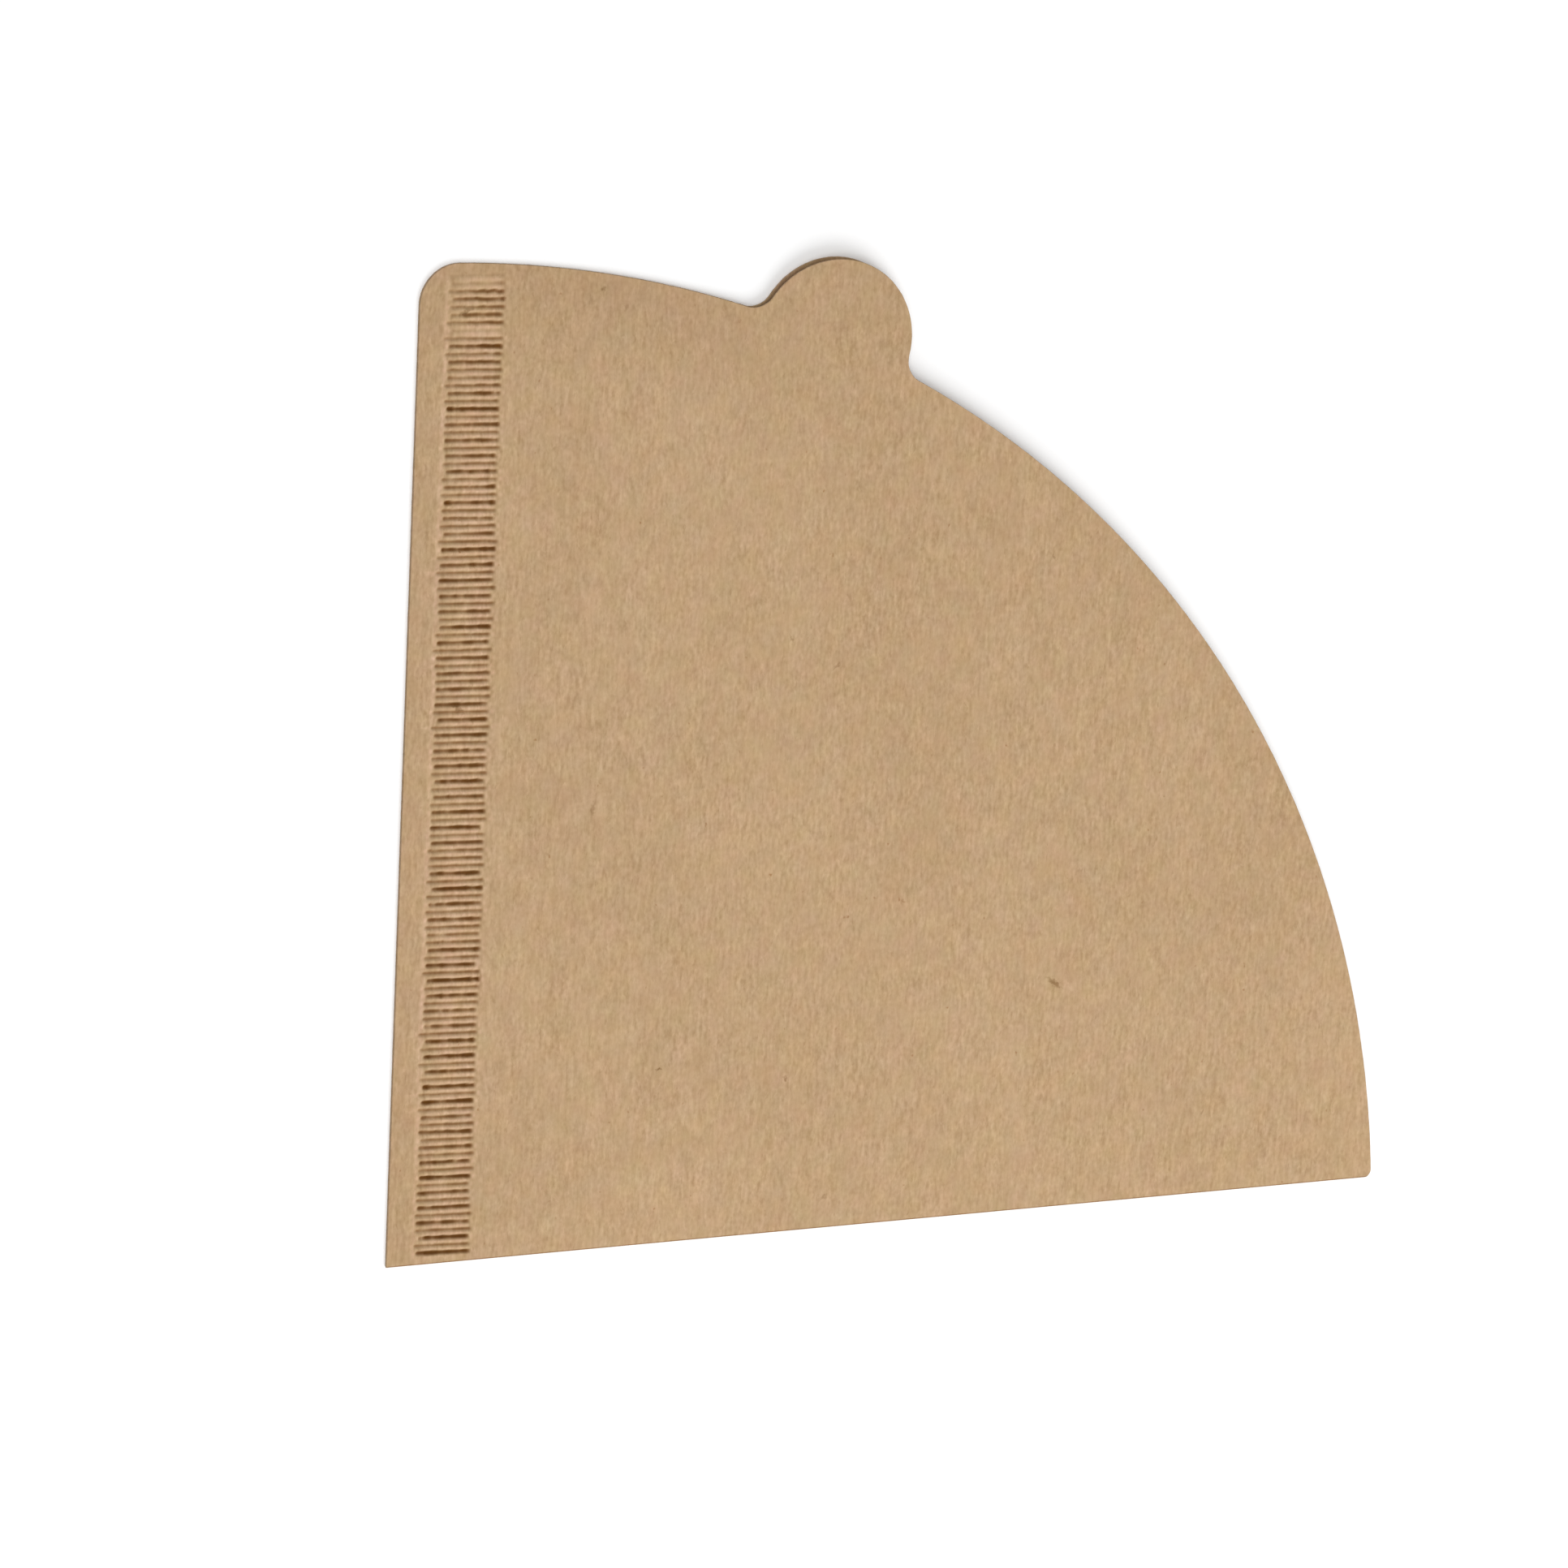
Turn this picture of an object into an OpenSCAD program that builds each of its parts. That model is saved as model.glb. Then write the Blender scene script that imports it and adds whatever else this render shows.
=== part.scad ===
// Paper coffee filter, folded flat: two plies of kraft paper in one piece, joined by the fold
// along the bottom and by a crimped seam up the left side, and open along the curved mouth.
// It lies on its back. Sizes are in millimetres.

/* [Sheet] */
// Height of the seam side, from the fold to the mouth
seam_h = 125; // [95:1:160]
// Length of the fold, from the seam side to the mouth
fold_l = 138; // [110:1:170]
// Thickness of the paper
paper_t = 0.22; // [0.14:0.02:0.4]
// Radius of the corner where the seam side meets the mouth
corner_r = 5; // [2:0.5:7]
// Radius of the corner where the fold meets the mouth
end_r = 1; // [0.5:0.1:3]
// Gap between the plies at the middle of the mouth
mouth_gap = 2.4; // [1.4:0.2:3.6]
// Width beside the seam and the fold where the plies stay pressed together
pressed_w = 1.2; // [0.8:0.1:3]
// Gap between the plies at the edge of the seam side
edge_gap = 0.09; // [0.04:0.01:0.12]

/* [Tab] */
// Width of the tab on the mouth
tab_w = 20.4; // [14:0.2:26]
// Height of the tab over the mouth's edge
tab_h = 10; // [8:0.2:16]
// Direction of the tab from the centre of the mouth's curve, measured from the seam side
tab_angle = 23.4; // [16:0.2:60]
// Radius of the notch on each side of the tab
notch_r = 3; // [1:0.2:4]

/* [Crimped seam] */
// Width of the plain margin between the seam side and the crimps
margin_w = 4; // [2:0.2:8]
// Length of a deep crimp, across the seam
crimp_l = 6.8; // [4:0.2:10]
// How much further a shallow crimp reaches at each end
shallow_reach = 0.4; // [0:0.1:1]
// Distance from one crimp to the next, along the seam
crimp_pitch = 0.96; // [0.9:0.02:2.4]
// Width of a crimp, along the seam
crimp_w = 0.76; // [0.6:0.02:0.86]
// Distance from the fold to the middle of the first crimp
crimp_start = 1.4; // [1:0.1:4]
// Plain stretch kept between the last crimp and the top of the seam side
crimp_stop = 2; // [1.4:0.1:6]
// Length of the slope at each end of a crimp
crimp_slope = 0.7; // [0.4:0.1:1.5]
// Depth of a deep crimp, in thicknesses of paper
deep_part = 1.2; // [0.8:0.05:1.3]
// Depth of a shallow crimp, in thicknesses of paper
shallow_part = 0.8; // [0.4:0.05:1]
// Height of the ridges between the crimps, in thicknesses of paper
ridge_part = 0.3; // [0.1:0.05:0.6]
// Depth of the marks on the back, in thicknesses of paper
back_part = 0.6; // [0.3:0.05:0.65]

/* [Hidden] */

kraft = "#c3a27b";
// How far a cut runs on past the paper
over = 1;

// The mouth is an arc about a point straight under the seam side, through both ends
mouth_drop = (fold_l * fold_l - seam_h * seam_h) / (2 * seam_h);
mouth_r = seam_h + mouth_drop;
mouth_c = [0, -mouth_drop];

// The tab is a disc that stands on the mouth's arc
tab_r = tab_w / 2;
tab_reach = mouth_r + tab_h - tab_r;

ply_pair = 2 * paper_t;
crimp_x = margin_w + crimp_l / 2;
crimps = floor((seam_h - crimp_stop - crimp_start) / crimp_pitch) + 1;
ridge_h = ridge_part * paper_t;

// The bowed ply is part of a very flat cone with its point where the seam meets the fold.
// It lies level along both of them and rises midway between, up to the gap at the mouth.
bow_x = margin_w + crimp_l + shallow_reach;
bow_length = norm([fold_l, seam_h]) + tab_h;
bow_rise = mouth_gap / (mouth_r - bow_x);
bow_half_angle = acos(bow_rise / (sqrt(2) - 1));
bow_tilt = asin(sqrt(2) * cos(bow_half_angle));
bow_sink = paper_t / 10;
form_h = ply_pair + 2 * mouth_gap;

// A point at the given distance and direction from a centre. Directions are measured from +Y
// towards +X, as on a compass.
function polar(centre, radius, angle) = centre + radius * [sin(angle), cos(angle)];
function toward(from, to) = atan2(to[0] - from[0], to[1] - from[1]);

// Points along an arc, without its last one, where the next stretch starts
function arc(centre, radius, first, last, steps) =
    [for (i = [0 : steps - 1]) polar(centre, radius, first + (last - first) * i / steps)];

// The centres of the arcs that round the corners, the notches and the tab
notch_turn = acos(
    (pow(mouth_r + notch_r, 2) + pow(tab_reach, 2) - pow(tab_r + notch_r, 2))
    / (2 * (mouth_r + notch_r) * tab_reach)
);
corner_angle = asin(corner_r / (mouth_r - corner_r));
end_angle = acos((end_r + mouth_drop) / (mouth_r - end_r));
near_angle = tab_angle - notch_turn;
far_angle = tab_angle + notch_turn;
corner_c = polar(mouth_c, mouth_r - corner_r, corner_angle);
near_c = polar(mouth_c, mouth_r + notch_r, near_angle);
tab_c = polar(mouth_c, tab_reach, tab_angle);
far_c = polar(mouth_c, mouth_r + notch_r, far_angle);
end_c = polar(mouth_c, mouth_r - end_r, end_angle);

// The die-cut edge of both plies, from the fold up the seam side and along the mouth
edge = concat(
    [[0, 0]],
    arc(corner_c, corner_r, -90, corner_angle, 8),
    arc(mouth_c, mouth_r, corner_angle, near_angle, 16),
    arc(near_c, notch_r, near_angle + 180, toward(near_c, tab_c), 6),
    arc(tab_c, tab_r, toward(tab_c, near_c), toward(tab_c, far_c), 26),
    arc(far_c, notch_r, toward(far_c, tab_c) + 360, far_angle + 180, 6),
    arc(mouth_c, mouth_r, far_angle, end_angle, 50),
    arc(end_c, end_r, end_angle, 180, 6),
    [[end_c[0], 0]]
);

// Everything inside the die-cut edge
module die_cut() {
    translate([0, 0, -over]) linear_extrude(over + form_h) polygon(edge);
}

// Both plies pressed flat, with the rounded fold along the bottom
module flat_plies() {
    far = seam_h + tab_h;
    rotate([90, 0, 90]) linear_extrude(fold_l)
        polygon(concat(
            arc([paper_t, paper_t], paper_t, 0, -180, 8),
            [[paper_t, 0], [far, 0], [far, ply_pair]]
        ));
}

// What lies under a bowed ply whose level edges are z high, from inset inside them
module under_bow(z, inset) {
    intersection() {
        translate([bow_x, paper_t, z - bow_sink]) rotate([0, 180 - bow_tilt, 45])
            cylinder(h = bow_length * cos(bow_half_angle), r1 = 0,
                     r2 = bow_length * sin(bow_half_angle), $fn = 180);
        translate([bow_x + inset, paper_t + inset, paper_t]) cube([fold_l, fold_l, form_h]);
    }
}

// The two plies round the space between them
module sleeve() {
    difference() {
        intersection() {
            die_cut();
            union() {
                flat_plies();
                under_bow(ply_pair, 0);
            }
        }
        under_bow(paper_t, pressed_w);
    }
}

// A tooth of the crimping tool, which lies across the seam and marks a face at z = 0. The mark
// is rounded below and slopes up at both ends. It is as wide as crimp_w where ridges stand as
// high as rise beside it.
module tooth(length, depth, rise) {
    half_l = length / 2;
    deep_l = half_l - crimp_slope;
    half_w = crimp_w / 2;
    intersection() {
        translate([-half_l, 0, 0]) rotate([90, 0, 90]) linear_extrude(length)
            polygon(concat(
                [for (u = [-1 : 0.5 : 1]) [u * half_w, rise - (depth + rise) * (1 - u * u)]],
                [[half_w, over], [-half_w, over]]
            ));
        translate([0, half_w, 0]) rotate([90, 0, 0]) linear_extrude(crimp_w)
            polygon([[-half_l, over], [-half_l, 0], [-deep_l, -depth],
                     [deep_l, -depth], [half_l, 0], [half_l, over]]);
    }
}

// The marks on the front, deep and shallow by turns
module front_marks() {
    for (i = [0 : crimps - 1])
        translate([crimp_x, crimp_start + i * crimp_pitch, ply_pair])
            if (i % 2 == 0) tooth(crimp_l, deep_part * paper_t, ridge_h);
            else tooth(crimp_l + 2 * shallow_reach, shallow_part * paper_t, ridge_h);
}

// The marks on the back, each under a ridge of the front
module back_marks() {
    for (i = [0 : crimps - 2])
        translate([crimp_x, crimp_start + (i + 0.5) * crimp_pitch, 0])
            mirror([0, 0, 1]) tooth(crimp_l, back_part * paper_t, 0);
}

// The band that the crimping raises on the front. The marks divide it into ridges.
module raised_band() {
    half_l = crimp_l / 2;
    high_l = half_l - crimp_slope;
    translate([crimp_x, crimp_start, ply_pair]) rotate([-90, 0, 0])
        linear_extrude((crimps - 1) * crimp_pitch)
        polygon([[-half_l, paper_t], [-half_l, 0], [-high_l, -ridge_h],
                 [high_l, -ridge_h], [half_l, 0], [half_l, paper_t]]);
}

// The plies are loose outside the crimps, and part a little towards the seam side
module margin_gap() {
    translate([0, pressed_w, paper_t]) rotate([-90, 0, 0]) linear_extrude(seam_h)
        polygon([[0, -edge_gap / 2], [-over, -edge_gap / 2], [-over, edge_gap / 2],
                 [0, edge_gap / 2], [margin_w, 0]]);
}

module paper_filter() {
    color(kraft) translate([-fold_l / 2, -seam_h / 2, 0]) difference() {
        union() {
            sleeve();
            raised_band();
        }
        front_marks();
        back_marks();
        margin_gap();
    }
}

paper_filter();
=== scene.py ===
"""The looks of a paper coffee filter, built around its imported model.

The filter lies folded on its back, as its part's source says. Its sizes are in millimetres and in
the plane of the paper: x runs along the fold from the seam side, y up the seam side from the fold,
and z up from the surface that it lies on.
"""

import math

import bmesh
import bpy
import numpy as np
from mathutils import Matrix, Vector
from mathutils.geometry import delaunay_2d_cdt


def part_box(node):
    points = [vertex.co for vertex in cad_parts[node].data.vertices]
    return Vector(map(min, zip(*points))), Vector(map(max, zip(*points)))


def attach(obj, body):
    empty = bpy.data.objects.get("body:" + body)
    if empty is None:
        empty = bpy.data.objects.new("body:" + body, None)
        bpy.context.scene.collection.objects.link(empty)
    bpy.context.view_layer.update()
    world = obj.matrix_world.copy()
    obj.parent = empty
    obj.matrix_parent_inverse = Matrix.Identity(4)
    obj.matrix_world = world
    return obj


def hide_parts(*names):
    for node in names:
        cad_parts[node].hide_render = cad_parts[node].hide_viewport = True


MM = 0.001

# The sheet
SEAM_H = 125.0
FOLD_L = 138.0
PAPER_T = 0.22
CORNER_R = 5.0
END_R = 1.0
MOUTH_GAP = 2.4
PRESSED_W = 1.2
EDGE_GAP = 0.09
LOOSE_MARGIN_W = 3.2
PLY_PAIR = 2 * PAPER_T

# The tab
TAB_W = 20.4
TAB_H = 10.0
TAB_ANGLE = 23.4
NOTCH_R = 3.0

# The mouth is an arc about a point straight under the seam side
MOUTH_DROP = (FOLD_L**2 - SEAM_H**2) / (2 * SEAM_H)
MOUTH_R = SEAM_H + MOUTH_DROP
MOUTH_C = np.array([0.0, -MOUTH_DROP])
TAB_R = TAB_W / 2
TAB_REACH = MOUTH_R + TAB_H - TAB_R

# The crimped seam
MARGIN_W = 4.0
CRIMP_L = 6.8
# How much further a shallow mark reaches, to the left and to the right
SHALLOW_REACH = 0.4
SHALLOW_REACH_RIGHT = 0.2
CRIMP_PITCH = 0.96
CRIMP_W = 0.9
CRIMP_START = 1.4
CRIMP_STOP = 2.0
CRIMP_SLOPE = 0.6
DEEP = 1.2 * PAPER_T
SHALLOW = 0.8 * PAPER_T
RIDGE = 0.3 * PAPER_T
BACK_MARK = 0.6 * PAPER_T
CRIMP_X = MARGIN_W + CRIMP_L / 2
# How far each mark rises per millimetre to the right, on average
CRIMP_LEAN = -0.035
# The last one, nearest to the mouth, is no more than a faint trace
CRIMPS = int((SEAM_H - CRIMP_STOP - CRIMP_START) / CRIMP_PITCH) + 2
# The band that the crimping raises, across the seam, and how wide its two slopes are
BAND_LEFT = 3.1
BAND_RIGHT = 11.6
BAND_SLOPES = (0.6, 0.8)
# Between which heights over the fold the band rises, how many pitches past the last mark it ends,
# and over what length
BAND_RISES = (0.5, 1.1)
BAND_PAST = 0.4
BAND_END_W = 0.8
# The ridges are lower on the left, by this share, and rise between two places across the seam
LOWER_ON_LEFT = 0.25
RIDGES_RISE = (4, 7)
# The lip that the crimping pushes up in the margin
LIP_X = 3.6
LIP_W = 0.28
LIP_H = 0.03

# How far one mark differs from the next, as a standard deviation, in pairs for deep and shallow
LEFT_SPREAD = 0.16
RIGHT_SPREAD = 0.14
LEAN_SPREAD = 0.004
WANDER_SPREAD = 0.015
FORCE_SPREAD = (0.12, 0.06)
PRESS_SPREAD = (0.24, 0.14)
PRESS_LIMITS = (0.2, 1.4)
CRIMP_SEED = 4
# Where across the seam a mark's unevenness is drawn
KNOTS = np.linspace(2.5, 12.5, 15)
# The deep marks' force at the fold and at the mouth, and the shallow marks' force
DEEP_FORCE = (0.96, 0.87)
SHALLOW_FORCE = 0.95
# How much harder a mark is pressed per millimetre to the right
HARDER_TO_RIGHT = 0.04
# The shares of a mark's width and depth that go with how hard it is pressed
PRESSED_WIDTH = 0.15
PRESSED_DEPTH = 0.2
# The tool lets go over this many marks near the mouth. Some of them are faint: their places are
# counted back from the mouth, each with its share of the force.
LETTING_GO = 18
FAINT = {-8: 0.3, -2: 0.35, -1: 0.25}
# What grows there towards the mouth, and by how much: how unevenly a mark is pressed, how far it
# wanders, and how much harder it is pressed to the right
MORE_UNEVEN = 0.6
MORE_WANDER = 2
MORE_TO_RIGHT = 0.15

# How dark a mark is where it is pressed hardest, and how narrow its dark line, deep and shallow
DARKEST = (1.0, 0.6)
NARROWNESS = (2.4, 3.0)
BACK_DARKEST = 0.6
# Painted light and shade between the marks, at places across the seam, in the measure of MARK_TONES:
# a painted highlight on the lip at the left end, which faces the key lamp, painted shade where the
# band slopes away from that lamp, and paler ridges in the middle, partly painted highlight. Below 0
# it is darker.
BAND_PAINTED_LIGHT_AT = [3.0, 3.45, 3.8, 4.15, 4.8, 6.8, 10.0, 10.8, 11.1, 11.8]
BAND_PAINTED_LIGHT = [-0.04, 0.2, 0.05, -0.1, 0.1, 0.3, 0.3, 0.08, -0.06, 0]
# Painted highlights beyond the left and the right end of each mark: how far beyond, how widely, and
# how much
PAINTED_HIGHLIGHT_BEYOND = (-0.35, 0.4)
PAINTED_HIGHLIGHT_BEYOND_W = 0.25
PAINTED_HIGHLIGHT_BEYOND_BY = 0.2
PAINTED_HIGHLIGHT_BEYOND_SPREAD = 0.08
# Painted shade on the rounded fold and on the bent edge of the mouth, in the same measure
FOLD_PAINTED_SHADE = 0.45
BENT_EDGE_PAINTED_SHADE = 0.07

# Flecks of bark in the front ply, and scratches over the crimps: x, y, length, width, turn in
# degrees, and strength. They show only where the paper is higher than FLECKS_OVER.
FLECKS_OVER = 0.3
FLECKS = [
    (89.9, 29.7, 3.2, 0.75, -35, 1.0),
    (25.2, 56.4, 2.8, 0.8, 80, 0.6),
    (59.3, 4.0, 1.6, 0.6, 35, 0.55),
    (57.1, 72.6, 1.7, 0.5, 40, 0.6),
    (50.8, 76.5, 1.8, 0.35, -60, 0.6),
    (35.5, 22.7, 1.0, 0.5, 0, 1.0),
    (52.9, 20.1, 0.8, 0.7, 80, 0.8),
    (86.3, 84.8, 1.1, 0.4, -55, 0.6),
    (112.4, 10.9, 0.9, 0.5, 70, 0.6),
    (24.0, 121.0, 0.9, 0.8, 0, 0.7),
    (27.1, 118.6, 0.7, 0.5, 60, 0.4),
    (1.9, 91.8, 1.8, 0.7, 80, 0.35),
    (6.1, 118.9, 2.6, 0.75, 25, 0.8),
    (6.9, 70.0, 2.4, 0.75, -34, 1.0),
    (5.5, 70.6, 1.7, 0.6, -8, 0.8),
]

# The bowed ply lies level along the crimps and the fold, and rises between them
BOW_X = MARGIN_W + CRIMP_L + SHALLOW_REACH
BOW_SLOPE = MOUTH_GAP / (MOUTH_R - BOW_X) / (math.sqrt(2) - 1)
WAVE_H = 0.2
# The waves grow where the bow is between these heights, and end this far inside the mouth
WAVES_GROW = (0.1, 1.6)
CALM_W = 25
# The mouth's edge bends down between the corner and the tab. The bend reaches this far into the
# sheet, fades out between two places along the fold, and takes this share of the bow.
BENT_W = 15
BENT_FADES = (58, 34)
BENT_SHARE = 0.75

# How fine the mesh is
EDGE_STEP = 0.6
CORNER_STEP = 0.4
NOTCH_STEP = 0.3
END_STEP = 0.2
FOLD_STEP = 1.0
FACE_STEP = 1.4
# Over the crimps, the rows along the seam, and the columns across it: first, end and step. The
# columns stand closest at both ends of the marks.
ROWS_PER_CRIMP = 8
FIRST_ROW = 0.8
ROWS_END = SEAM_H - CRIMP_STOP + 0.9
COLUMNS = [(3.0, 4.6, 0.2), (4.7, 10.2, 0.46), (10.3, 11.9, 0.22)]
# How far the even net of the face keeps away from the columns, to the left and to the right, and
# how far the crimps' points and the net's keep away from the cut edge
NET_GAPS = (0.4, 0.6)
CRIMPS_INSET = 0.1
NET_INSET = 0.5
# The turn from one row of points round the fold to the next, in degrees
FOLD_TURN = 15
# How far the skins end inside the cut, where the cut's rows lie between them, and how uneven it is
ROUNDING = 0.04
CUT_ROWS = (0.25, 0.75)
CUT_SPREAD = 0.008
CUT_SEED = 7

# The mesh's two materials, for the paper's skins and for its cut edges
SKIN, CUT = 0, 1

# The share of the paper's colour that is left at each value of the pressed attribute, from the
# palest to the darkest: below 0 painted light, above 0 the marks' darkness and painted shade
MARK_TONES = {
    -0.5: (1.33, 1.29, 1.5),
    0.0: (1.0, 1.0, 1.0),
    0.5: (0.575, 0.46, 0.345),
    1.0: (0.25, 0.13, 0.01),
}
KRAFT = (0.455, 0.303, 0.169)
# The cut edges' colour is the paper's, made darker as painted shade
SHADED_CUT_KRAFT = (0.4, 0.27, 0.16)
SPECK_TONE = (0.72, 0.6, 0.48)
BARK_TONE = (0.6, 0.53, 0.43)
# How far the fibres go to both sides of the paper's colour, each colour's part in that, and the
# tone where they are palest
FIBRE_RANGE = 0.2
FIBRE_PARTS = (0.85, 1.0, 1.3)
PALEST_TONE = 0.3


def polar(centre, radius, angle):
    """A point at a distance and direction from a centre. Directions go from +Y towards +X."""
    turn = math.radians(angle)
    return np.array([centre[0] + radius * math.sin(turn), centre[1] + radius * math.cos(turn)])


def toward(start, end):
    """The direction from one point to another."""
    return math.degrees(math.atan2(end[0] - start[0], end[1] - start[1]))


def arc(centre, radius, first, last, step=EDGE_STEP):
    """Points along an arc, without its last one, where the next stretch starts."""
    steps = max(4, round(math.radians(abs(last - first)) * radius / step))
    return [polar(centre, radius, first + (last - first) * i / steps) for i in range(steps)]


def line(start, end, step=EDGE_STEP):
    """Points along a straight line, without its last one."""
    start, end = np.array(start, float), np.array(end, float)
    steps = max(1, round(np.linalg.norm(end - start) / step))
    return [start + (end - start) * i / steps for i in range(steps)]


def cut_edge():
    """The die-cut edge of both plies, from the fold up the seam side and along the mouth."""
    turn = (MOUTH_R + NOTCH_R) ** 2 + TAB_REACH**2 - (TAB_R + NOTCH_R) ** 2
    notch_turn = math.degrees(math.acos(turn / (2 * (MOUTH_R + NOTCH_R) * TAB_REACH)))
    corner_angle = math.degrees(math.asin(CORNER_R / (MOUTH_R - CORNER_R)))
    end_angle = math.degrees(math.acos((END_R + MOUTH_DROP) / (MOUTH_R - END_R)))
    near_angle, far_angle = TAB_ANGLE - notch_turn, TAB_ANGLE + notch_turn
    corner = polar(MOUTH_C, MOUTH_R - CORNER_R, corner_angle)
    near = polar(MOUTH_C, MOUTH_R + NOTCH_R, near_angle)
    tab = polar(MOUTH_C, TAB_REACH, TAB_ANGLE)
    far = polar(MOUTH_C, MOUTH_R + NOTCH_R, far_angle)
    end = polar(MOUTH_C, MOUTH_R - END_R, end_angle)
    # The last arc stops as high over the fold as the rounding of the fold starts
    stop = 180 - math.degrees(math.acos((END_R - PAPER_T) / END_R))
    return np.array(
        line([0, PAPER_T], [0, corner[1]])
        + arc(corner, CORNER_R, -90, corner_angle, CORNER_STEP)
        + arc(MOUTH_C, MOUTH_R, corner_angle, near_angle)
        + arc(near, NOTCH_R, near_angle + 180, toward(near, tab), NOTCH_STEP)
        + arc(tab, TAB_R, toward(tab, near), toward(tab, far), CORNER_STEP)
        + arc(far, NOTCH_R, toward(far, tab) + 360, far_angle + 180, NOTCH_STEP)
        + arc(MOUTH_C, MOUTH_R, far_angle, end_angle)
        + arc(end, END_R, end_angle, stop, END_STEP)
        + [polar(end, END_R, stop)]
    )


def outward(points):
    """The direction out of the sheet at each point of the cut edge."""
    ahead = np.gradient(points, axis=0)
    ahead /= np.linalg.norm(ahead, axis=1)[:, None]
    normals = np.stack([-ahead[:, 1], ahead[:, 0]], 1)
    normals[[0, -1]] = [[-1, 0], [1, 0]]
    return normals


def smooth(low, high, value):
    """0 at low and before it, 1 at high and past it, with a smooth rise between them."""
    t = np.clip((value - low) / (high - low), 0, 1)
    return t * t * (3 - 2 * t)


def bell(x, middle, width):
    """1 in the middle, falling to 0 on both sides."""
    return np.exp(-(((x - middle) / width) ** 2))


def bow(x, y):
    """How far the front ply stands over the back one: a very flat cone."""
    across, up = np.clip(x - BOW_X, 0, None), np.clip(y - PAPER_T, 0, None)
    return BOW_SLOPE * (across + up - np.hypot(across, up))


def mouth_distance(x, y):
    """The distance from the centre of the mouth's arc."""
    return np.hypot(x - MOUTH_C[0], y - MOUTH_C[1])


def bent_edge(x, y):
    """1 at the mouth's edge between the corner and the tab, and 0 away from it."""
    return smooth(BENT_W, 0, MOUTH_R - mouth_distance(x, y)) * smooth(*BENT_FADES, x)


def waves(x, y):
    """The slight unevenness of a loose ply of paper, nothing where it is held."""
    # Three swells in different directions, each shorter and lower than the one before
    swell = (
        0.5 * np.sin(x / 17.0 + 0.8 * np.sin(y / 23.0))
        + 0.3 * np.sin(y / 13.0 - x / 31.0 + 1.3)
        + 0.2 * np.sin(x / 9.0 + y / 11.0 + 0.4)
    )
    calm = smooth(*WAVES_GROW, bow(x, y)) * smooth(0, CALM_W, MOUTH_R - mouth_distance(x, y))
    return WAVE_H * swell * calm - BENT_SHARE * bent_edge(x, y) * bow(x, y)


def groove(off, width):
    """1 in the middle of a mark, falling to 0 at its sides."""
    return 0.5 + 0.5 * np.cos(2 * math.pi * np.clip(off / width, -0.5, 0.5))


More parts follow.
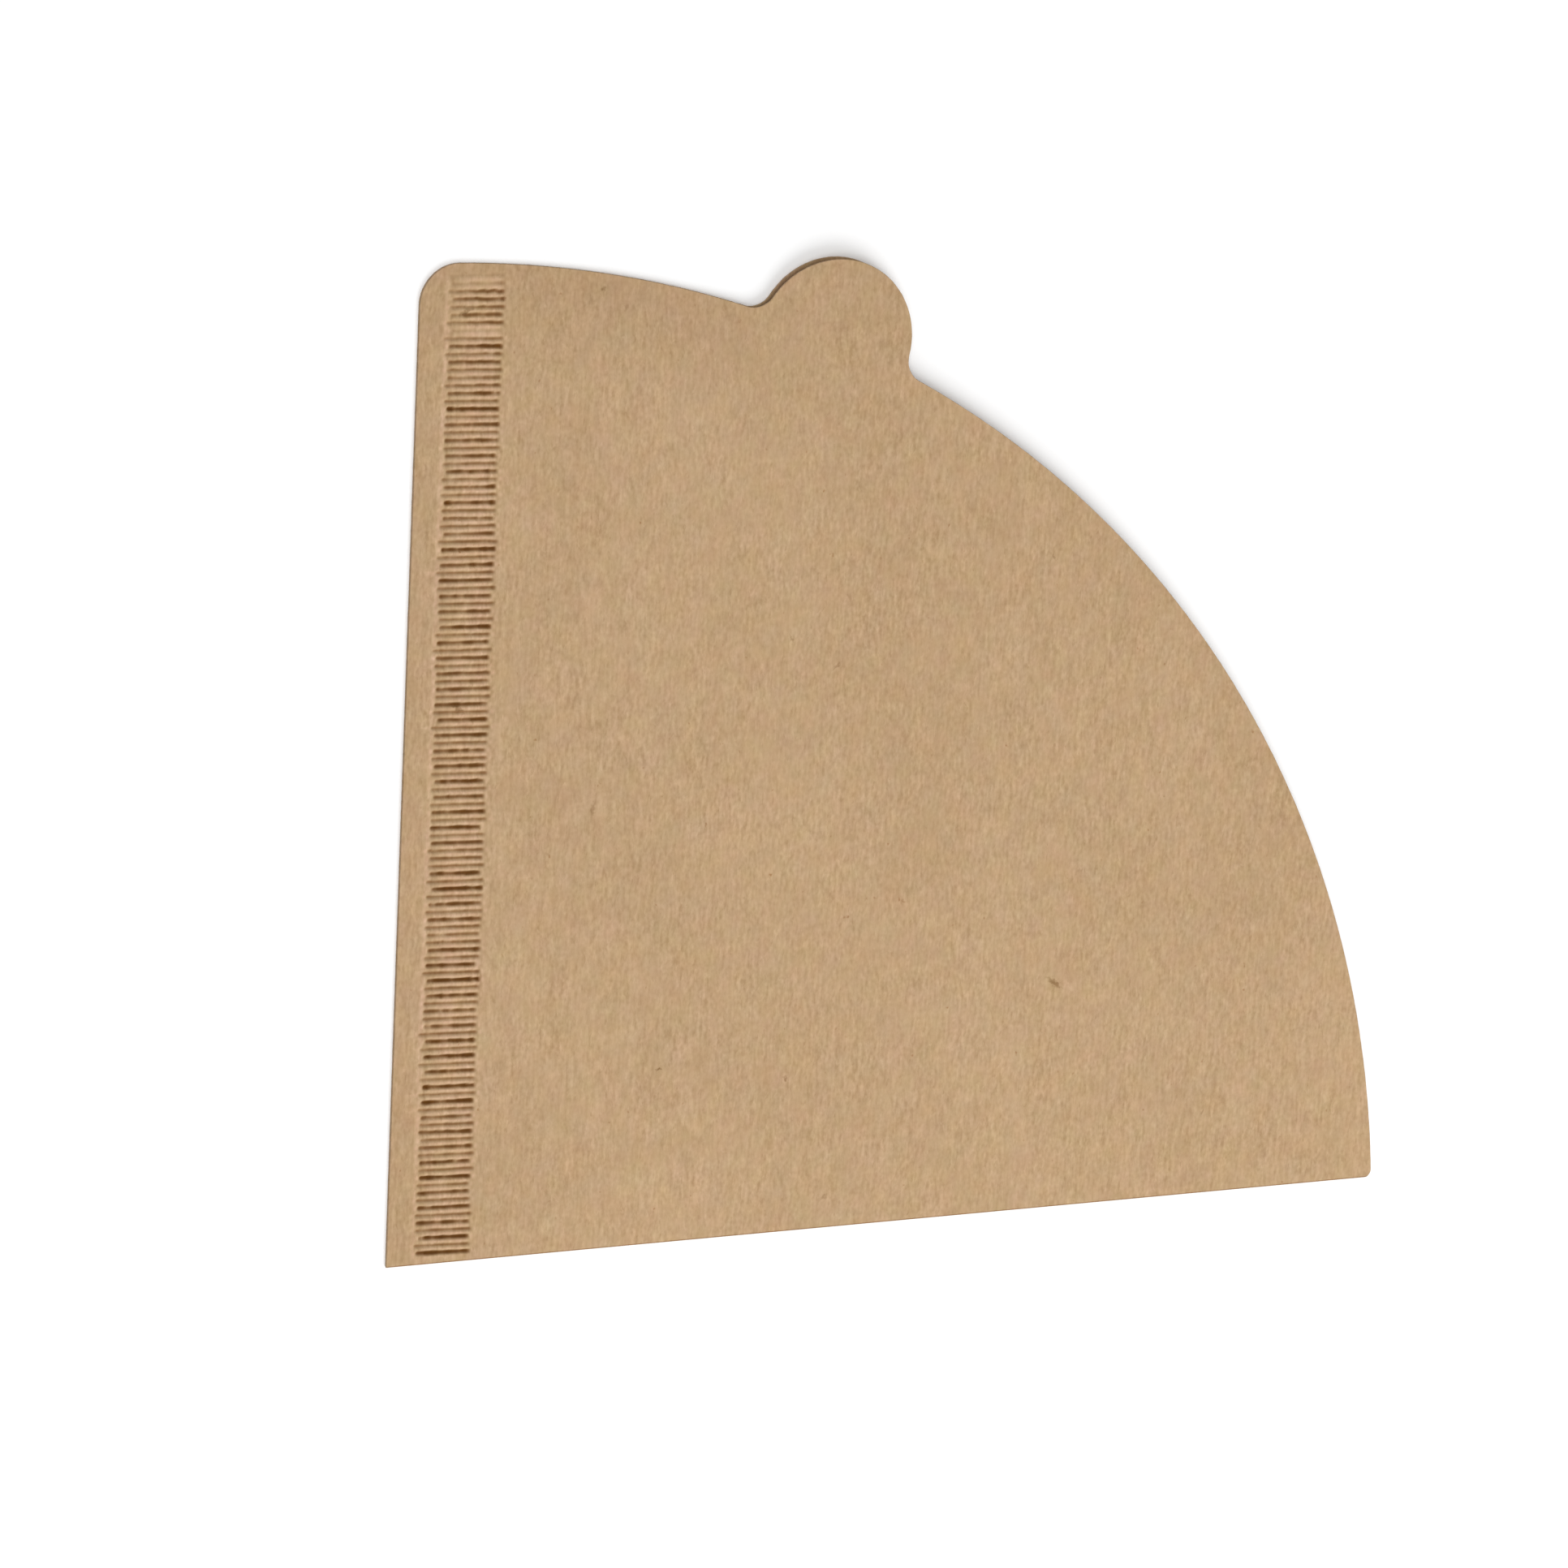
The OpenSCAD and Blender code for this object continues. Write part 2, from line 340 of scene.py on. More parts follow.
class Crimps:
    """The marks that the crimping tool has left, each a little different from the next."""

    def __init__(self, seed):
        draws = np.random.default_rng(seed)
        self.deep = np.arange(CRIMPS) % 2 == 0
        starts = MARGIN_W - np.where(self.deep, 0.0, SHALLOW_REACH)
        ends = MARGIN_W + CRIMP_L + np.where(self.deep, 0.0, SHALLOW_REACH_RIGHT)
        self.left = starts + draws.normal(0, LEFT_SPREAD, CRIMPS)
        self.right = ends + draws.normal(0, RIGHT_SPREAD, CRIMPS)
        self.force = 1 + draws.normal(0, 1, CRIMPS) * np.where(self.deep, *FORCE_SPREAD)
        self.lean = draws.normal(CRIMP_LEAN, LEAN_SPREAD, CRIMPS)
        # The tool lets go towards the mouth, first on the side of the margin
        letting_go = np.clip((np.arange(CRIMPS) - CRIMPS + LETTING_GO) / LETTING_GO, 0, 1)[:, None]
        spread = np.where(self.deep, *PRESS_SPREAD)[:, None] * (1 + MORE_UNEVEN * letting_go)
        self.press = 1 + draws.normal(0, 1, (CRIMPS, len(KNOTS))) * spread
        self.wander = draws.normal(0, WANDER_SPREAD, (CRIMPS, len(KNOTS)))
        self.wander *= 1 + MORE_WANDER * letting_go
        to_right = HARDER_TO_RIGHT + MORE_TO_RIGHT * letting_go
        self.press *= 1 + to_right * (KNOTS - CRIMP_X)[None]
        self.force *= np.where(self.deep, np.linspace(*DEEP_FORCE, CRIMPS), SHALLOW_FORCE)
        self.force[list(FAINT)] *= list(FAINT.values())
        # How strong the painted highlight beyond each end of each mark is
        beyond = draws.normal(PAINTED_HIGHLIGHT_BEYOND_BY, PAINTED_HIGHLIGHT_BEYOND_SPREAD, (2, CRIMPS))
        self.painted_highlight_beyond = np.clip(beyond, 0, 1)

    def between_knots(self, values, index, x):
        """A mark's own value at x, taken smoothly between the places where it was drawn."""
        place = (x - KNOTS[0]) / (KNOTS[1] - KNOTS[0])
        low = np.clip(np.floor(place).astype(int), 0, len(KNOTS) - 2)
        share = smooth(0, 1, place - low)
        return values[index, low] * (1 - share) + values[index, low + 1] * share

    def along(self, index, x):
        """How hard each mark is held down at x, 0 outside it, and how unevenly it is pressed."""
        start = smooth(0, CRIMP_SLOPE, x - self.left[index] + CRIMP_SLOPE / 2)
        stop = smooth(0, CRIMP_SLOPE, self.right[index] - x + CRIMP_SLOPE / 2)
        uneven = self.between_knots(self.press, index, x)
        return start * stop * self.force[index], np.clip(uneven, *PRESS_LIMITS)

    def front(self, x, y):
        """The height of the front face's relief, and how dark its marks are pressed, with painted
        light and shade along the band.

        Where the paper is paler than elsewhere, as on the ridges, partly painted highlight, and on
        the lip and beyond the marks' ends, painted highlight, the second one is below 0.
        """
        drop = CRIMP_LEAN * (x - CRIMP_X)
        index = np.round((y - CRIMP_START - drop) / CRIMP_PITCH)
        index = np.clip(index.astype(int), 0, CRIMPS - 1)
        deep = self.deep[index]
        off = y - CRIMP_START - index * CRIMP_PITCH - self.lean[index] * (x - CRIMP_X)
        off -= self.between_knots(self.wander, index, x)
        held, uneven = self.along(index, x)
        # A mark is wider, deeper and darker where it is pressed harder
        mark = groove(off, CRIMP_W * (1 - PRESSED_WIDTH + PRESSED_WIDTH * uneven))
        depth = np.where(deep, DEEP, SHALLOW) + RIDGE
        dark = mark ** (np.where(deep, *NARROWNESS) - uneven) * held * uneven
        dark *= np.where(deep, *DARKEST)

        left_slope, right_slope = BAND_SLOPES
        band = smooth(0, left_slope, x - BAND_LEFT) * smooth(0, right_slope, BAND_RIGHT - x)
        band_end = CRIMP_START + (CRIMPS - 1 + BAND_PAST) * CRIMP_PITCH
        span = smooth(*BAND_RISES, y) * smooth(0, BAND_END_W, band_end - y)
        ridge = RIDGE * (1 - LOWER_ON_LEFT + LOWER_ON_LEFT * smooth(*RIDGES_RISE, x)) * band
        ridge = (ridge + LIP_H * bell(x, LIP_X, LIP_W)) * span
        height = ridge - mark * held * (1 - PRESSED_DEPTH + PRESSED_DEPTH * uneven) * depth

        # Painted light and shade along the band between the marks, and painted highlights beyond
        # their ends
        pale = np.interp(x, BAND_PAINTED_LIGHT_AT, BAND_PAINTED_LIGHT) * (1 - mark * np.clip(held, 0, 1))
        for end, beyond, amount in zip((self.left, self.right), PAINTED_HIGHLIGHT_BEYOND, self.painted_highlight_beyond):
            pale += amount[index] * mark * bell(x, end[index] + beyond, PAINTED_HIGHLIGHT_BEYOND_W)
        return height, np.clip(dark, 0, 1) - pale * span

    def back(self, x, y):
        """The depth of the marks on the back, each under a ridge of the front, and how dark."""
        step = (y - CRIMP_START) / CRIMP_PITCH - 0.5
        index = np.clip(np.round(step).astype(int), 0, CRIMPS - 2)
        mark = groove((step - index) * CRIMP_PITCH, CRIMP_W)
        held, uneven = self.along(index, x)
        return mark * held * BACK_MARK, np.clip(BACK_DARKEST * mark * held * uneven, 0, 1)


class Shell:
    """Points and faces that are put together into one closed mesh."""

    def __init__(self):
        self.places = []
        self.pressed = []
        self.faces = []
        self.materials = []
        self.count = 0

    def add_points(self, x, y, z, pressed=0.0):
        """Adds points, each with its pressed value, which holds the marks' darkness, painted shade
        and painted light, and gives back their numbers.
        """
        x, y, z, pressed = np.broadcast_arrays(x, y, z, pressed)
        self.places.append(np.stack([x, y, z], 1))
        self.pressed.append(pressed)
        self.count += len(x)
        return np.arange(self.count - len(x), self.count)

    def heights(self, numbers):
        """How high the points of these numbers lie."""
        return np.concatenate(self.places)[numbers, 2]

    def add_faces(self, corners, material):
        """Adds faces of one material, each a row of point numbers."""
        self.faces += corners.tolist()
        self.materials += [material] * len(corners)

    def add_strips(self, rows, material):
        """Adds the faces between each row of points and the next."""
        for a, b in zip(rows, rows[1:]):
            self.add_faces(np.stack([a[:-1], b[:-1], b[1:], a[1:]], 1), material)


def inside(points, ring, margin):
    """Which points lie within a ring of points, and at least margin away from it."""
    ahead = np.roll(ring, -1, axis=0)
    result = np.zeros(len(points), bool)
    # The points are taken in 20 parts, so that each comparison with the ring stays small
    for part in np.array_split(np.arange(len(points)), 20):
        x, y = points[part, :1], points[part, 1:]
        spans = (ring[:, 1] > y) != (ahead[:, 1] > y)
        rise = np.where(ahead[:, 1] == ring[:, 1], 1, ahead[:, 1] - ring[:, 1])
        left = x < (ahead[:, 0] - ring[:, 0]) * (y - ring[:, 1]) / rise + ring[:, 0]
        within = (spans & left).sum(1) % 2 == 1
        nearest = np.hypot(x - ring[:, 0], y - ring[:, 1]).min(1)
        result[part] = within & (nearest > margin)
    return result


def face_points(ring):
    """Points over the sheet: close rows over the crimps, and an even net elsewhere."""
    columns = np.concatenate([np.arange(*span) for span in COLUMNS])
    rows = np.arange(FIRST_ROW, ROWS_END, CRIMP_PITCH / ROWS_PER_CRIMP)
    x, y = np.meshgrid(columns, rows)
    crimped = np.stack([x.ravel(), (y + CRIMP_LEAN * (x - CRIMP_X)).ravel()], 1)
    # The even net is one of triangles with equal sides
    rows = np.arange(0, SEAM_H, FACE_STEP * math.sqrt(0.75))
    x, y = np.meshgrid(np.arange(0, FOLD_L, FACE_STEP), rows)
    x[1::2] += FACE_STEP / 2
    net = np.stack([x.ravel(), y.ravel()], 1)
    left_gap, right_gap = NET_GAPS
    net = net[(net[:, 0] < columns[0] - left_gap) | (net[:, 0] > columns[-1] + right_gap)]
    crimped = crimped[inside(crimped, ring, CRIMPS_INSET)]
    return np.concatenate([crimped, net[inside(net, ring, NET_INSET)]])


def sheet_net(ring):
    """Points in the plane of the sheet, the triangles between them, and the ring's numbers."""
    points = [Vector(p) for p in np.concatenate([ring, face_points(ring)]).tolist()]
    closed = [(i, (i + 1) % len(ring)) for i in range(len(ring))]
    # Kind 1 keeps only the triangles inside the ring
    found = delaunay_2d_cdt(points, closed, [], 1, 1e-6)
    plane = np.array([tuple(p) for p in found[0]])
    triangles = np.array(found[2])
    place = {origin: i for i, origins in enumerate(found[3]) for origin in origins}
    return plane, triangles, np.array([place[i] for i in range(len(ring))])


def parting(plane, triangles):
    """Which triangles have the plies apart, and how wide the gap is at each point."""
    x, y = plane.T
    middle = plane[triangles].mean(1)
    margin = (middle[:, 0] < LOOSE_MARGIN_W) & (middle[:, 1] > PRESSED_W)
    mouth = (middle[:, 0] > BOW_X + PRESSED_W) & (middle[:, 1] > PAPER_T + PRESSED_W)
    apart = margin | mouth
    edge_gap = EDGE_GAP * np.clip(1 - x / LOOSE_MARGIN_W, 0, 1)
    gap = np.where(x < MARGIN_W, edge_gap, bow(x, y))
    gap[np.unique(triangles[~apart])] = 0
    apart &= gap[triangles].max(1) > 0
    return apart, gap


def add_plies(shell, plane, triangles, on_cut):
    """Adds the four skins of the two plies, and gives back their numbers from the front down.

    The inner two are there where the plies are apart and along the cut, and share their points
    where the gap is closed.
    """
    x, y = plane.T
    apart, gap = parting(plane, triangles)
    crimps = Crimps(CRIMP_SEED)
    relief, dark_front = crimps.front(x, y)
    # Painted shade where the mouth's edge bends down between the corner and the tab
    dark_front += BENT_EDGE_PAINTED_SHADE * bent_edge(x, y)
    marks, dark_back = crimps.back(x, y)
    in_margin = x < MARGIN_W
    lift = np.where(in_margin & (gap > 0), gap / 2, 0)
    loose = bow(x, y) + waves(x, y)
    front = shell.add_points(x, y, PLY_PAIR + loose + relief + lift, dark_front)
    back = shell.add_points(x, y, marks, dark_back)

    has_inner = np.zeros(len(plane), bool)
    has_inner[np.unique(triangles[apart])] = True
    has_inner[on_cut] = True
    inner = np.flatnonzero(has_inner)
    parted = np.flatnonzero(has_inner & (gap > 0))
    over = PAPER_T + np.where(in_margin, gap / 2, gap + np.where(gap > 0, waves(x, y), 0))
    under = PAPER_T - np.where(in_margin, gap / 2, 0)
    upper = np.full(len(plane), -1)
    upper[inner] = shell.add_points(x[inner], y[inner], over[inner])
    lower = upper.copy()
    lower[parted] = shell.add_points(x[parted], y[parted], under[parted])

    shell.add_faces(front[triangles], SKIN)
    shell.add_faces(back[triangles[:, ::-1]], SKIN)
    shell.add_faces(upper[triangles[apart][:, ::-1]], SKIN)
    shell.add_faces(lower[triangles[apart]], SKIN)
    return front, upper, lower, back


def add_cut(shell, cut, normals, top, bottom, draws):
    """Adds a ply's cut edge, rounded by two rows of points that stand out from its skins."""
    high, low = shell.heights(top), shell.heights(bottom)
    rows = [top]
    for share in CUT_ROWS:
        out = cut + normals * draws.normal(0, CUT_SPREAD, (len(cut), 1))
        rows.append(shell.add_points(out[:, 0], out[:, 1], high + (low - high) * share))
    rows.append(bottom)
    shell.add_strips(rows, CUT)
    return rows


def add_fold(shell, x, front, back, fold_end):
    """Adds the fold, which goes half round from the front ply to the back one."""
    end_c = fold_end - math.sqrt(END_R**2 - (END_R - PAPER_T) ** 2)
    rows = [front]
    for turn in np.radians(np.arange(FOLD_TURN, 180, FOLD_TURN)):
        row_y = PAPER_T * (1 - math.sin(turn))
        row_z = PAPER_T * (1 + math.cos(turn))
        # Each row ends on the rounded corner between the fold and the mouth
        reach = end_c + math.sqrt(END_R**2 - (END_R - row_y) ** 2)
        row_x = x.copy()
        beyond = x > end_c
        row_x[beyond] = end_c + (x[beyond] - end_c) * (reach - end_c) / (x.max() - end_c)
        # The fold's rows carry painted shade
        rows.append(shell.add_points(row_x, row_y, row_z, FOLD_PAINTED_SHADE))
    rows.append(back)
    shell.add_strips(rows, SKIN)
    return rows


def build_filter():
    """One closed mesh of the folded sheet: both plies, the fold, the crimps and the cut edges."""
    cut = cut_edge()
    normals = outward(cut)
    rim = cut - normals * ROUNDING
    fold_line = np.array(line(rim[-1], rim[0], FOLD_STEP))[1:]
    plane, triangles, on_ring = sheet_net(np.concatenate([rim, fold_line]))
    on_cut = on_ring[: len(rim)]
    on_fold = np.concatenate([on_ring[len(rim) - 1 :], on_ring[:1]])

    shell = Shell()
    front, upper, lower, back = add_plies(shell, plane, triangles, on_cut)
    draws = np.random.default_rng(CUT_SEED)
    front_cut = add_cut(shell, cut, normals, front[on_cut], upper[on_cut], draws)
    back_cut = add_cut(shell, cut, normals, lower[on_cut], back[on_cut], draws)
    fold = add_fold(shell, plane[on_fold, 0], front[on_fold], back[on_fold], cut[-1, 0])
    # One face closes each end of the fold, where the cuts of the two plies share a point
    for cut_end, fold_end in ((-1, 0), (0, -1)):
        around = [row[cut_end] for row in front_cut + back_cut[1:]]
        around += [row[fold_end] for row in fold[-2:0:-1]]
        shell.add_faces(np.array([around]), CUT)
    return shell


def filter_object(materials):
    """The filter as an object, with a material for its skins and one for its cut edges."""
    shell = build_filter()
    low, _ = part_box("paper_filter")
    mesh = bpy.data.meshes.new("folded_filter")
    mesh.from_pydata((np.concatenate(shell.places) * MM).tolist(), [], shell.faces)
    # Besides the marks' darkness, the pressed attribute carries painted shade on the fold and the
    # bent edge, and painted light and shade on the crimp band
    attribute = mesh.attributes.new("pressed", "FLOAT", "POINT")
    attribute.data.foreach_set("value", np.concatenate(shell.pressed).astype(np.float32))
    for material in materials:
        mesh.materials.append(material)
    mesh.polygons.foreach_set("material_index", np.array(shell.materials, np.int32))
    mesh.shade_smooth()
    work = bmesh.new()
    work.from_mesh(mesh)
    bmesh.ops.recalc_face_normals(work, faces=work.faces)
    for edge in work.edges:
        edge.smooth = len({face.material_index for face in edge.link_faces}) == 1
    work.to_mesh(mesh)
    work.free()
    obj = bpy.data.objects.new("folded_filter", mesh)
    obj.location = (low.x, low.y, 0)
    bpy.context.scene.collection.objects.link(obj)
    return obj


class Shading:
    """Adds nodes to the tree of a material or a group, and links them."""

    def __init__(self, tree):
        self.nodes = tree.nodes
        self.links = tree.links

    def feed(self, socket, value):
        """Gives a socket what another node puts out, or a value of its own."""
        if isinstance(value, bpy.types.NodeSocket):
            self.links.new(value, socket)
        else:
            socket.default_value = value

    def calculated(self, operation, *values, kind="ShaderNodeMath", output=0):
        """The result of an operation on values, each one a socket's or a fixed one."""
        step = self.nodes.new(kind)
        step.operation = operation
        for socket, value in zip(step.inputs, values):
            self.feed(socket, value)
        return step.outputs[output]

    def vector(self, operation, *values, output=0):
        """The result of an operation on places or colours, which have three parts."""
        return self.calculated(operation, *values, kind="ShaderNodeVectorMath", output=output)

    def ranged(self, value, low, high, most=1.0):
        """0 where the value is low, and the most where it is high."""
        step = self.nodes.new("ShaderNodeMapRange")
        step.inputs["From Min"].default_value = low
        step.inputs["From Max"].default_value = high
        step.inputs["To Max"].default_value = most
        self.links.new(value, step.inputs["Value"])
        return step.outputs[0]

    def mixed(self, factor, first, second, way="MIX"):
        """Two colours in one, each given as a socket or as red, green and blue."""
        mix = self.nodes.new("ShaderNodeMix")
        mix.data_type = "RGBA"
        mix.blend_type = way
        self.feed(mix.inputs["Factor"], factor)
        for socket, colour in ((mix.inputs[6], first), (mix.inputs[7], second)):
            self.feed(socket, (*colour, 1) if isinstance(colour, tuple) else colour)
        return mix.outputs[2]


def kraft_fibres():
    """Shader group: the streaks, grain and cloudiness of unbleached paper, and its relief."""
    group = bpy.data.node_groups.new("kraft fibres", "ShaderNodeTree")
    sockets = group.interface
    sockets.new_socket("Millimetres", in_out="INPUT", socket_type="NodeSocketVector")
    sockets.new_socket("Tone", in_out="OUTPUT", socket_type="NodeSocketFloat")
    sockets.new_socket("Tint", in_out="OUTPUT", socket_type="NodeSocketColor")
    sockets.new_socket("Specks", in_out="OUTPUT", socket_type="NodeSocketFloat")
    sockets.new_socket("Relief", in_out="OUTPUT", socket_type="NodeSocketFloat")
    tree = Shading(group)
    millimetres = tree.nodes.new("NodeGroupInput").outputs["Millimetres"]
    result = tree.nodes.new("NodeGroupOutput").inputs

    def noise(stretch, detail=1, rough=0.5, output="Fac"):
        """A noise of about 0.5, as fine per millimetre along x, y and z as stretch says."""
        field = tree.nodes.new("ShaderNodeTexNoise")
        field.inputs["Scale"].default_value = 1.0
        field.inputs["Detail"].default_value = detail
        field.inputs["Roughness"].default_value = rough
        tree.feed(field.inputs["Vector"], tree.vector("MULTIPLY", millimetres, stretch))
        return field.outputs[output]

    def total(parts):
        """The sum of noises about 0, each times its own strength."""
        amount = 0.0
        for field, strength in parts:
            centred = tree.calculated("SUBTRACT", field, 0.5)
            amount = tree.calculated("ADD", tree.calculated("MULTIPLY", centred, strength), amount)
        return amount

    grain = noise((2.3, 1.5, 1.5))
    streaks = noise((2.1, 0.5, 0.6))
    clouds = noise((0.3, 0.2, 0.2), detail=2)
    shade = noise((0.04, 0.03, 0.1))
    # Single fibres lie along lines where a drawn-out noise passes a value, pale and dark ones
    drawn_out = noise((1.6, 0.5, 0.7), detail=2)
    scattered = tree.ranged(noise((1.5, 0.6, 0.6)), 0.52, 0.64)
    pale_and_dark = []
    for value in (0.5, 0.6):
        off_line = tree.calculated("ABSOLUTE", tree.calculated("SUBTRACT", drawn_out, value))
        fibre = tree.calculated("MULTIPLY", tree.ranged(off_line, 0.05, 0.0), scattered)
        pale_and_dark.append(fibre)
    single = tree.calculated("SUBTRACT", *pale_and_dark)
    # The grain and the streaks are strong in some patches and faint in others
    patches = tree.ranged(noise((0.25, 0.2, 0.2)), -0.2, 0.9)
    fine = tree.calculated("MULTIPLY", total([(grain, 0.9), (streaks, 1.0)]), patches)
    tones = tree.calculated("ADD", fine, total([(clouds, 0.2), (shade, 0.25)]))
    single_tone = tree.calculated("MULTIPLY", single, 0.14)
    tree.feed(result["Tone"], tree.calculated("ADD", single_tone, tones))
    single_relief = tree.calculated("MULTIPLY", single, 0.5)
    relief = total([(grain, 0.8), (streaks, 1.2)])
    tree.feed(result["Relief"], tree.calculated("ADD", single_relief, relief))
    specks = noise((0.9, 0.7, 2.2), detail=2, rough=0.6)
    tree.feed(result["Specks"], tree.ranged(specks, 0.72, 0.8))
    # The tint wavers about white, most of all in blue
    hue = noise((0.35, 0.3, 0.3), detail=2, output="Color")
    tint = tree.vector("MULTIPLY_ADD", hue, (0.1, 0.1, 0.2), (0.95, 0.95, 0.9))
    tree.feed(result["Tint"], tint)
    return group


def bark_flecks(tree, millimetres, flecks):
    """A mask of single flecks in the front ply, each with an uneven outline."""
    uneven = tree.nodes.new("ShaderNodeTexNoise")
    uneven.inputs["Scale"].default_value = 2.0
    tree.feed(uneven.inputs["Vector"], millimetres)
    pushed = tree.vector("MULTIPLY_ADD", uneven.outputs["Color"], (1.0, 1.0, 0.0), millimetres)
    mask = 0.0
    for x, y, length, width, turn, strength in flecks:
        place = tree.nodes.new("ShaderNodeMapping")
        place.vector_type = "TEXTURE"
        # The push moves everything by 0.5 on average
        place.inputs["Location"].default_value = (x + 0.5, y + 0.5, 0)
        place.inputs["Rotation"].default_value = (0, 0, math.radians(turn))
        place.inputs["Scale"].default_value = (length / 2, width / 2, 100)
        tree.feed(place.inputs["Vector"], pushed)
        # A fleck is full in its middle and fades out towards its edge, which is at 1
        away = tree.vector("LENGTH", place.outputs[0], output="Value")
        fleck = tree.ranged(away, 1.0, 0.3, strength)
        mask = tree.calculated("MAXIMUM", fleck, mask)
    height = tree.nodes.new("ShaderNodeSeparateXYZ")
    tree.feed(height.inputs[0], millimetres)
    front = tree.calculated("GREATER_THAN", height.outputs["Z"], FLECKS_OVER)
    return tree.calculated("MULTIPLY", mask, front)


def mark_and_painted_light_colours(tree):
    """The share of the paper's colour at each point, by the pressed attribute: the marks' darkness,
    painted shade and painted light.
    """
    mark = tree.nodes.new("ShaderNodeAttribute")
    mark.attribute_name = "pressed"
    ramp = tree.nodes.new("ShaderNodeValToRGB")
    stops = ramp.color_ramp.elements
    first, last = min(MARK_TONES), max(MARK_TONES)
    for pressed, share in MARK_TONES.items():
        at = (pressed - first) / (last - first)
        if pressed == first:
            stop = stops[0]
        elif pressed == last:
            stop = stops[-1]
        else:
            stop = stops.new(at)
        stop.position = at
        stop.color = (*share, 1)
    tree.feed(ramp.inputs["Fac"], tree.ranged(mark.outputs["Fac"], first, last))
    return ramp.outputs["Color"]


def paper(name, fibres, light, marked=False):
    """A matte paper material of one base colour with fibres, and with marks, painted light and
    shade, and flecks if marked.
    """
    material = bpy.data.materials.new(name)
    material.use_nodes = True
    tree = Shading(material.node_tree)
    surface = tree.nodes["Principled BSDF"].inputs
    surface["Roughness"].default_value = 0.9
    surface["Specular IOR Level"].default_value = 0.25

    where = tree.nodes.new("ShaderNodeTexCoord")
    in_mm = tree.nodes.new("ShaderNodeVectorMath")
    in_mm.operation = "SCALE"
    in_mm.inputs["Scale"].default_value = 1 / MM
    tree.feed(in_mm.inputs[0], where.outputs["Object"])
    texture = tree.nodes.new("ShaderNodeGroup")
    texture.node_tree = fibres
    tree.feed(texture.inputs["Millimetres"], in_mm.outputs[0])

    dark = tuple(c * (1 - FIBRE_RANGE * part) for c, part in zip(light, FIBRE_PARTS))
    pale = tuple(c * (1 + FIBRE_RANGE * part) for c, part in zip(light, FIBRE_PARTS))
    tone = tree.ranged(texture.outputs["Tone"], -PALEST_TONE, PALEST_TONE)
    colour = tree.mixed(tone, dark, pale)
    colour = tree.mixed(1.0, colour, texture.outputs["Tint"], "MULTIPLY")
    colour = tree.mixed(texture.outputs["Specks"], colour, SPECK_TONE, "MULTIPLY")
    if marked:
        flecks = bark_flecks(tree, in_mm.outputs[0], FLECKS)
        colour = tree.mixed(flecks, colour, BARK_TONE, "MULTIPLY")
        # Darkens the marks and adds painted shade and painted light, by the pressed attribute
        colour = tree.mixed(1.0, colour, mark_and_painted_light_colours(tree), "MULTIPLY")
    tree.feed(surface["Base Color"], colour)
    relief = tree.nodes.new("ShaderNodeBump")
    relief.inputs["Strength"].default_value = 0.5
    relief.inputs["Distance"].default_value = 0.03 * MM
    tree.feed(relief.inputs["Height"], texture.outputs["Relief"])
    tree.feed(surface["Normal"], relief.outputs["Normal"])
    return material


def floor():
    """A plain pale surface for the filter to lie on."""
    mesh = bpy.data.meshes.new("floor")
    half = 3.0
    corners = [(-half, -half, 0), (half, -half, 0), (half, half, 0), (-half, half, 0)]
    mesh.from_pydata(corners, [], [(0, 1, 2, 3)])
    material = bpy.data.materials.new("pale floor")
    material.use_nodes = True
    surface = material.node_tree.nodes["Principled BSDF"]
    surface.inputs["Base Color"].default_value = (0.97, 0.97, 0.97, 1)
    surface.inputs["Roughness"].default_value = 0.8
    surface.inputs["Specular IOR Level"].default_value = 0.1
    mesh.materials.append(material)
    obj = bpy.data.objects.new("floor", mesh)
    # The filter's back and the floor don't share a plane
    obj.location.z = -0.02 * MM
    bpy.context.scene.collection.objects.link(obj)


def lamp(name, place, size, power):
    """A square soft lamp that shines at the filter."""
    light = bpy.data.lights.new(name, "AREA")
    light.size = size
    light.energy = power
    obj = bpy.data.objects.new(name, light)
    obj.location = place
    obj.rotation_euler = (-Vector(place)).to_track_quat("-Z", "Y").to_euler()
    bpy.context.scene.collection.objects.link(obj)


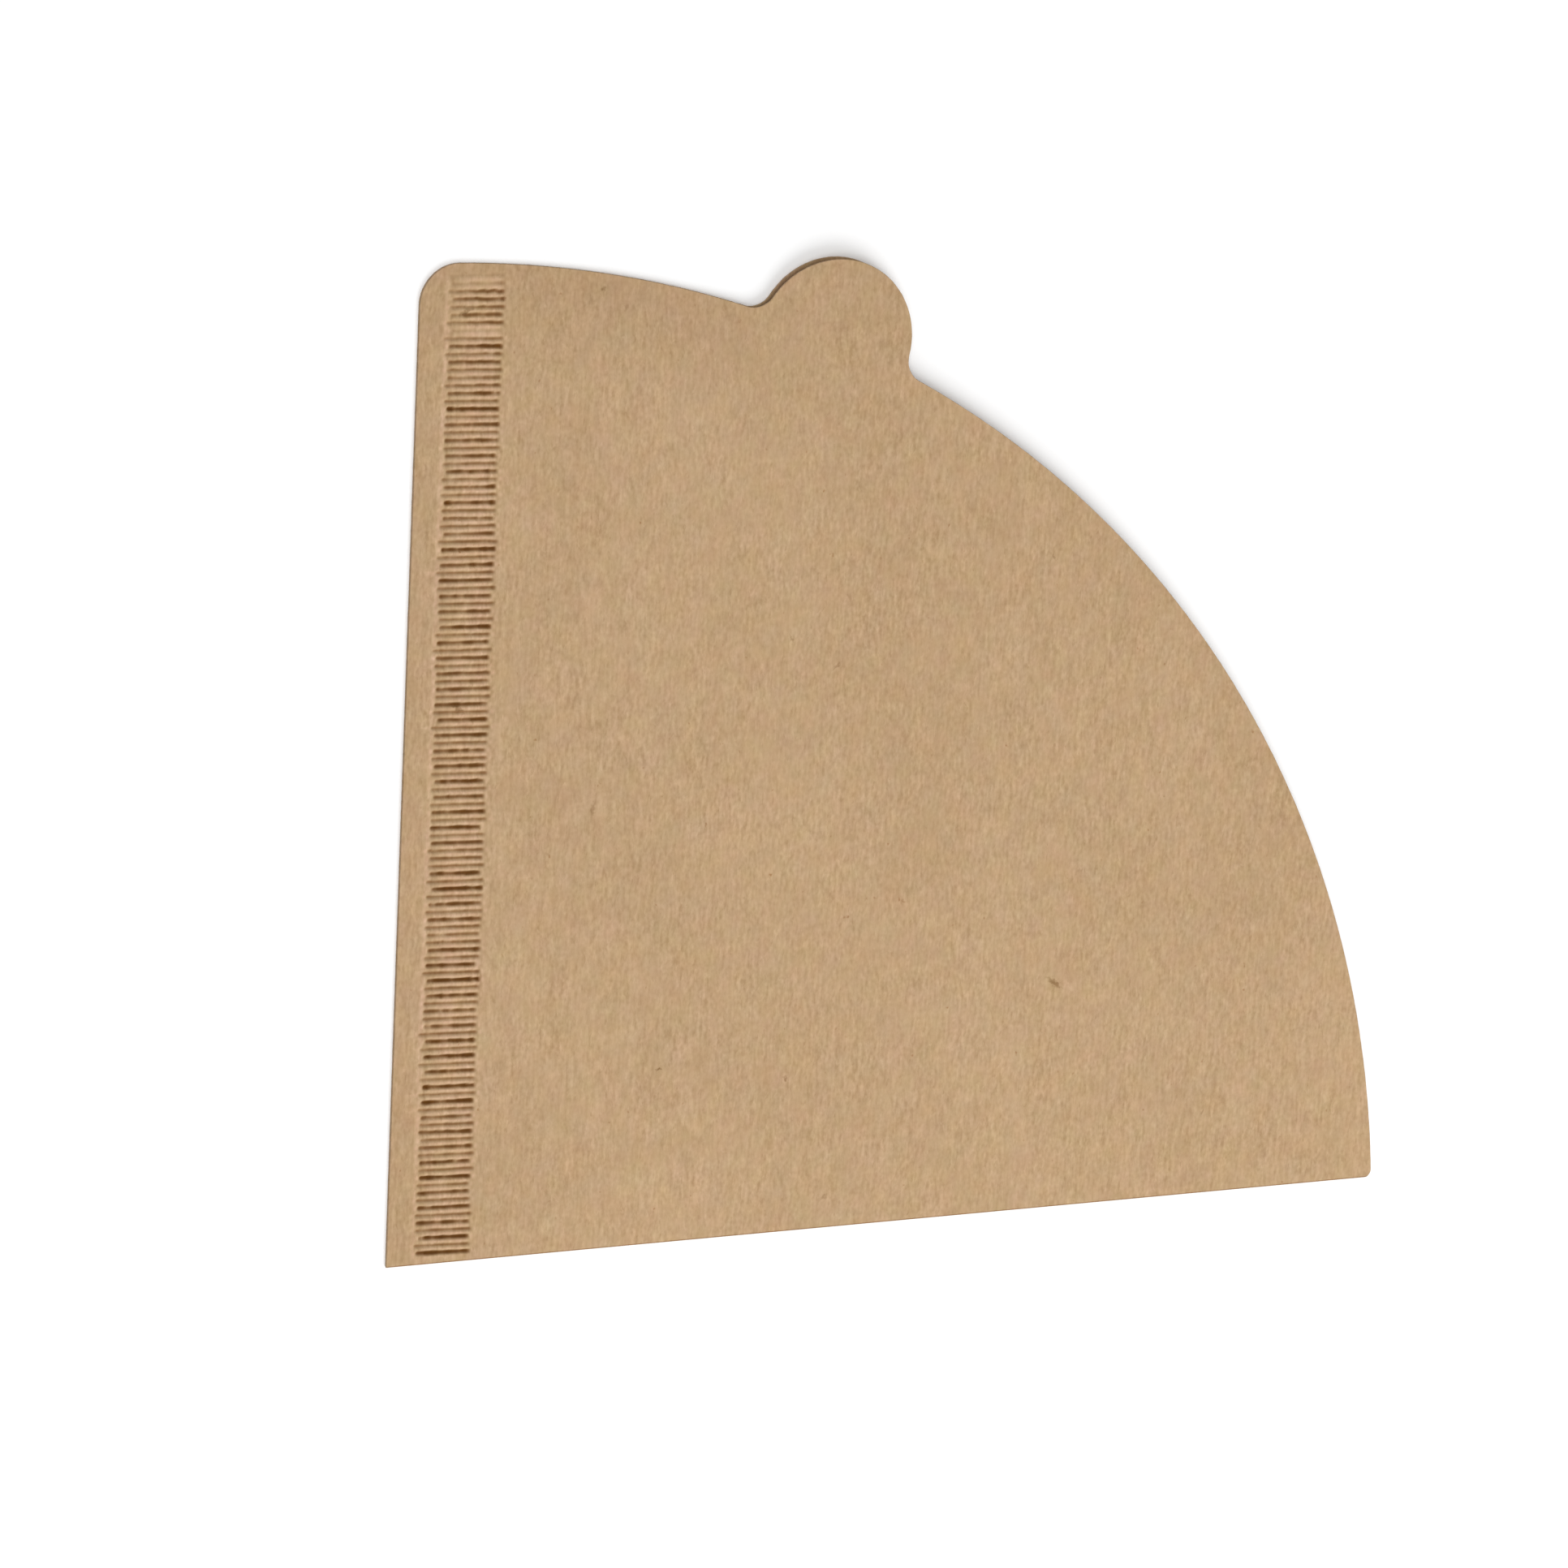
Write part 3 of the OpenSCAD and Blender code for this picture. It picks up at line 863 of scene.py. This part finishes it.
def studio():
    """Soft light from above and from the fold's side, and a pale surround."""
    world = bpy.data.worlds.new("surround")
    bpy.context.scene.world = world
    world.use_nodes = True
    surround = world.node_tree.nodes["Background"]
    surround.inputs["Color"].default_value = (1, 1, 1, 1)
    surround.inputs["Strength"].default_value = 0.4
    lamp("key", (-0.45, 0.1, 1.7), 1.3, 16)
    lamp("fill", (0.3, -0.65, 0.6), 0.7, 5)
    bpy.context.scene.view_settings.view_transform = "Standard"


def camera():
    """A long lens that looks down on the filter from its seam's side, fitted to the photo."""
    aim = Vector((-0.01765, -0.0048, 0.00044))
    distance = 1.2014
    azimuth, elevation = math.radians(151.55), math.radians(60.63)
    up = Vector((0.0637, 0.9714, -0.2289))
    level = math.cos(elevation)
    back = Vector((math.cos(azimuth) * level, math.sin(azimuth) * level, math.sin(elevation)))
    right = up.cross(back).normalized()
    data = bpy.data.cameras.new("camera")
    data.sensor_width = 36
    data.lens = 223.6
    obj = bpy.data.objects.new("camera", data)
    axes = Matrix((right, back.cross(right), back)).transposed()
    obj.matrix_world = Matrix.Translation(aim + back * distance) @ axes.to_4x4()
    bpy.context.scene.collection.objects.link(obj)
    bpy.context.scene.camera = obj


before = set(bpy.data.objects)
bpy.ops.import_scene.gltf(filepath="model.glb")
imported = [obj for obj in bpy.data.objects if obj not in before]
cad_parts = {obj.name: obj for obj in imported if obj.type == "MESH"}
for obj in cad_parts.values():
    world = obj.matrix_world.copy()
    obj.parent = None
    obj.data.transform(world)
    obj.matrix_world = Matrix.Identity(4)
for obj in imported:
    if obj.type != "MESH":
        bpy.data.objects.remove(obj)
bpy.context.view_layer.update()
camera()
floor()
studio()
fibres = kraft_fibres()
kraft_face = paper("kraft face", fibres, KRAFT, marked=True)
# The cut edges' material is a copy of the paper in painted shade
shaded_kraft_cut = paper("kraft cut edge", fibres, SHADED_CUT_KRAFT)
filter_piece = filter_object([kraft_face, shaded_kraft_cut])
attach(filter_piece, "root")
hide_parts("paper_filter")
paper_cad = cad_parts["paper_filter"]
paper_cad.data.materials.clear()
paper_cad.data.materials.append(kraft_face)
